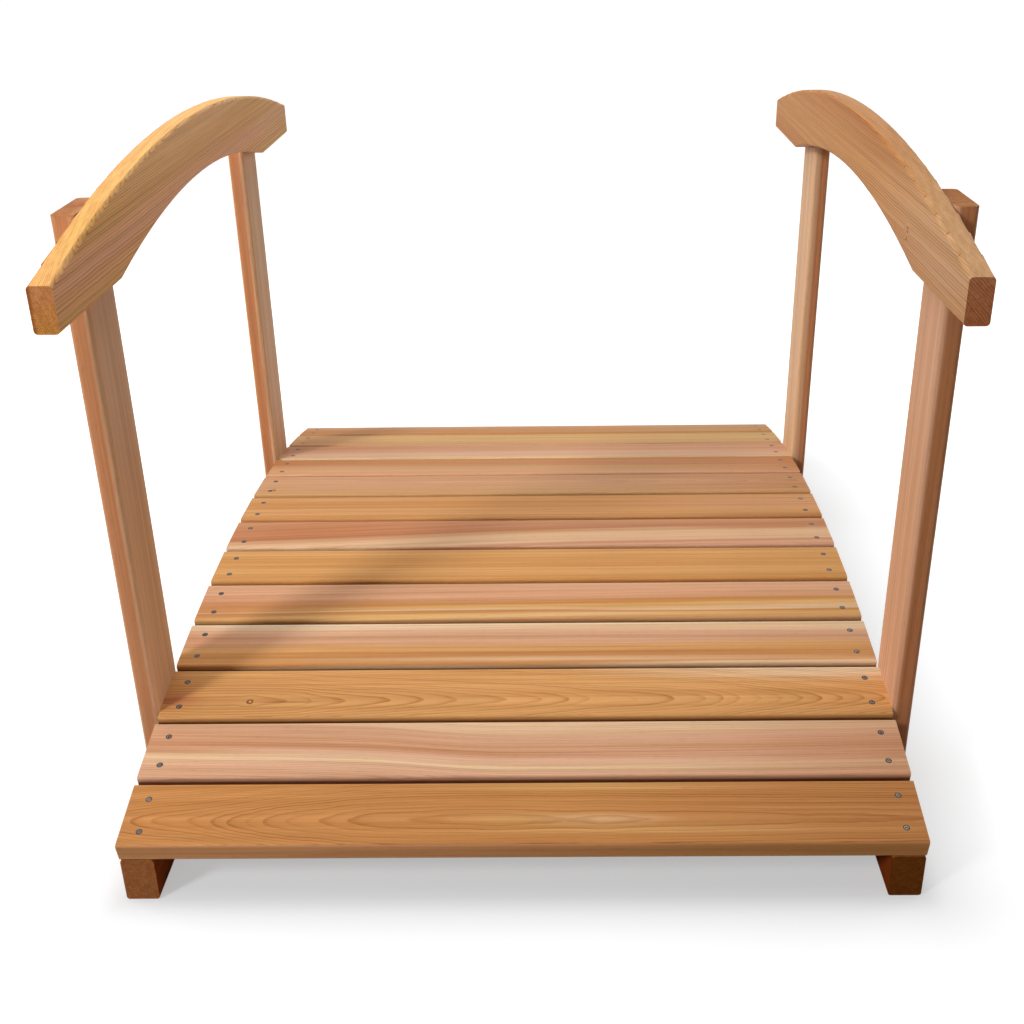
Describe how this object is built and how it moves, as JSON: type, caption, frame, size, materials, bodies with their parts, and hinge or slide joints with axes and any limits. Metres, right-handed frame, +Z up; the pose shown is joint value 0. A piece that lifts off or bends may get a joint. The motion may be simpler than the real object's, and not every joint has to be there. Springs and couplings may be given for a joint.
{
  "type": "moon bridge",
  "caption": "Small arched garden footbridge: cedar deck boards on two arched side beams, with four upright posts carrying a pair of arched handrails.",
  "frame": {"origin": "on the ground, under the middle of the bridge", "axes": "+X to the right across the walkway, +Y along the walkway, +Z up"},
  "size_m": [0.9652, 1.2506, 0.7831],
  "materials": {
    "deck_board_01": "smooth sanded cedar",
    "deck_board_02": "smooth sanded cedar",
    "deck_board_03": "smooth sanded cedar",
    "deck_board_04": "smooth sanded cedar",
    "deck_board_05": "smooth sanded cedar",
    "deck_board_06": "smooth sanded cedar",
    "deck_board_07": "smooth sanded cedar",
    "deck_board_08": "smooth sanded cedar",
    "deck_board_09": "smooth sanded cedar",
    "deck_board_10": "smooth sanded cedar",
    "deck_board_11": "smooth sanded cedar",
    "deck_board_12": "smooth sanded cedar",
    "deck_board_13": "smooth sanded cedar",
    "side_beam_left": "smooth sanded cedar",
    "side_beam_right": "smooth sanded cedar",
    "post_front_left": "smooth sanded cedar",
    "post_back_left": "smooth sanded cedar",
    "post_front_right": "smooth sanded cedar",
    "post_back_right": "smooth sanded cedar",
    "handrail_left": "smooth sanded cedar",
    "handrail_right": "smooth sanded cedar"
  },
  "bodies": {
    "root": {"deck_board_01": "deck_board_01", "deck_board_02": "deck_board_02", "deck_board_03": "deck_board_03", "deck_board_04": "deck_board_04", "deck_board_05": "deck_board_05", "deck_board_06": "deck_board_06", "deck_board_07": "deck_board_07", "deck_board_08": "deck_board_08", "deck_board_09": "deck_board_09", "deck_board_10": "deck_board_10", "deck_board_11": "deck_board_11", "deck_board_12": "deck_board_12", "deck_board_13": "deck_board_13", "side_beam_left": "side_beam_left", "side_beam_right": "side_beam_right", "post_front_left": "post_front_left", "post_back_left": "post_back_left", "post_front_right": "post_front_right", "post_back_right": "post_back_right", "handrail_left": "handrail_left", "handrail_right": "handrail_right"}
  },
  "joints": []
}
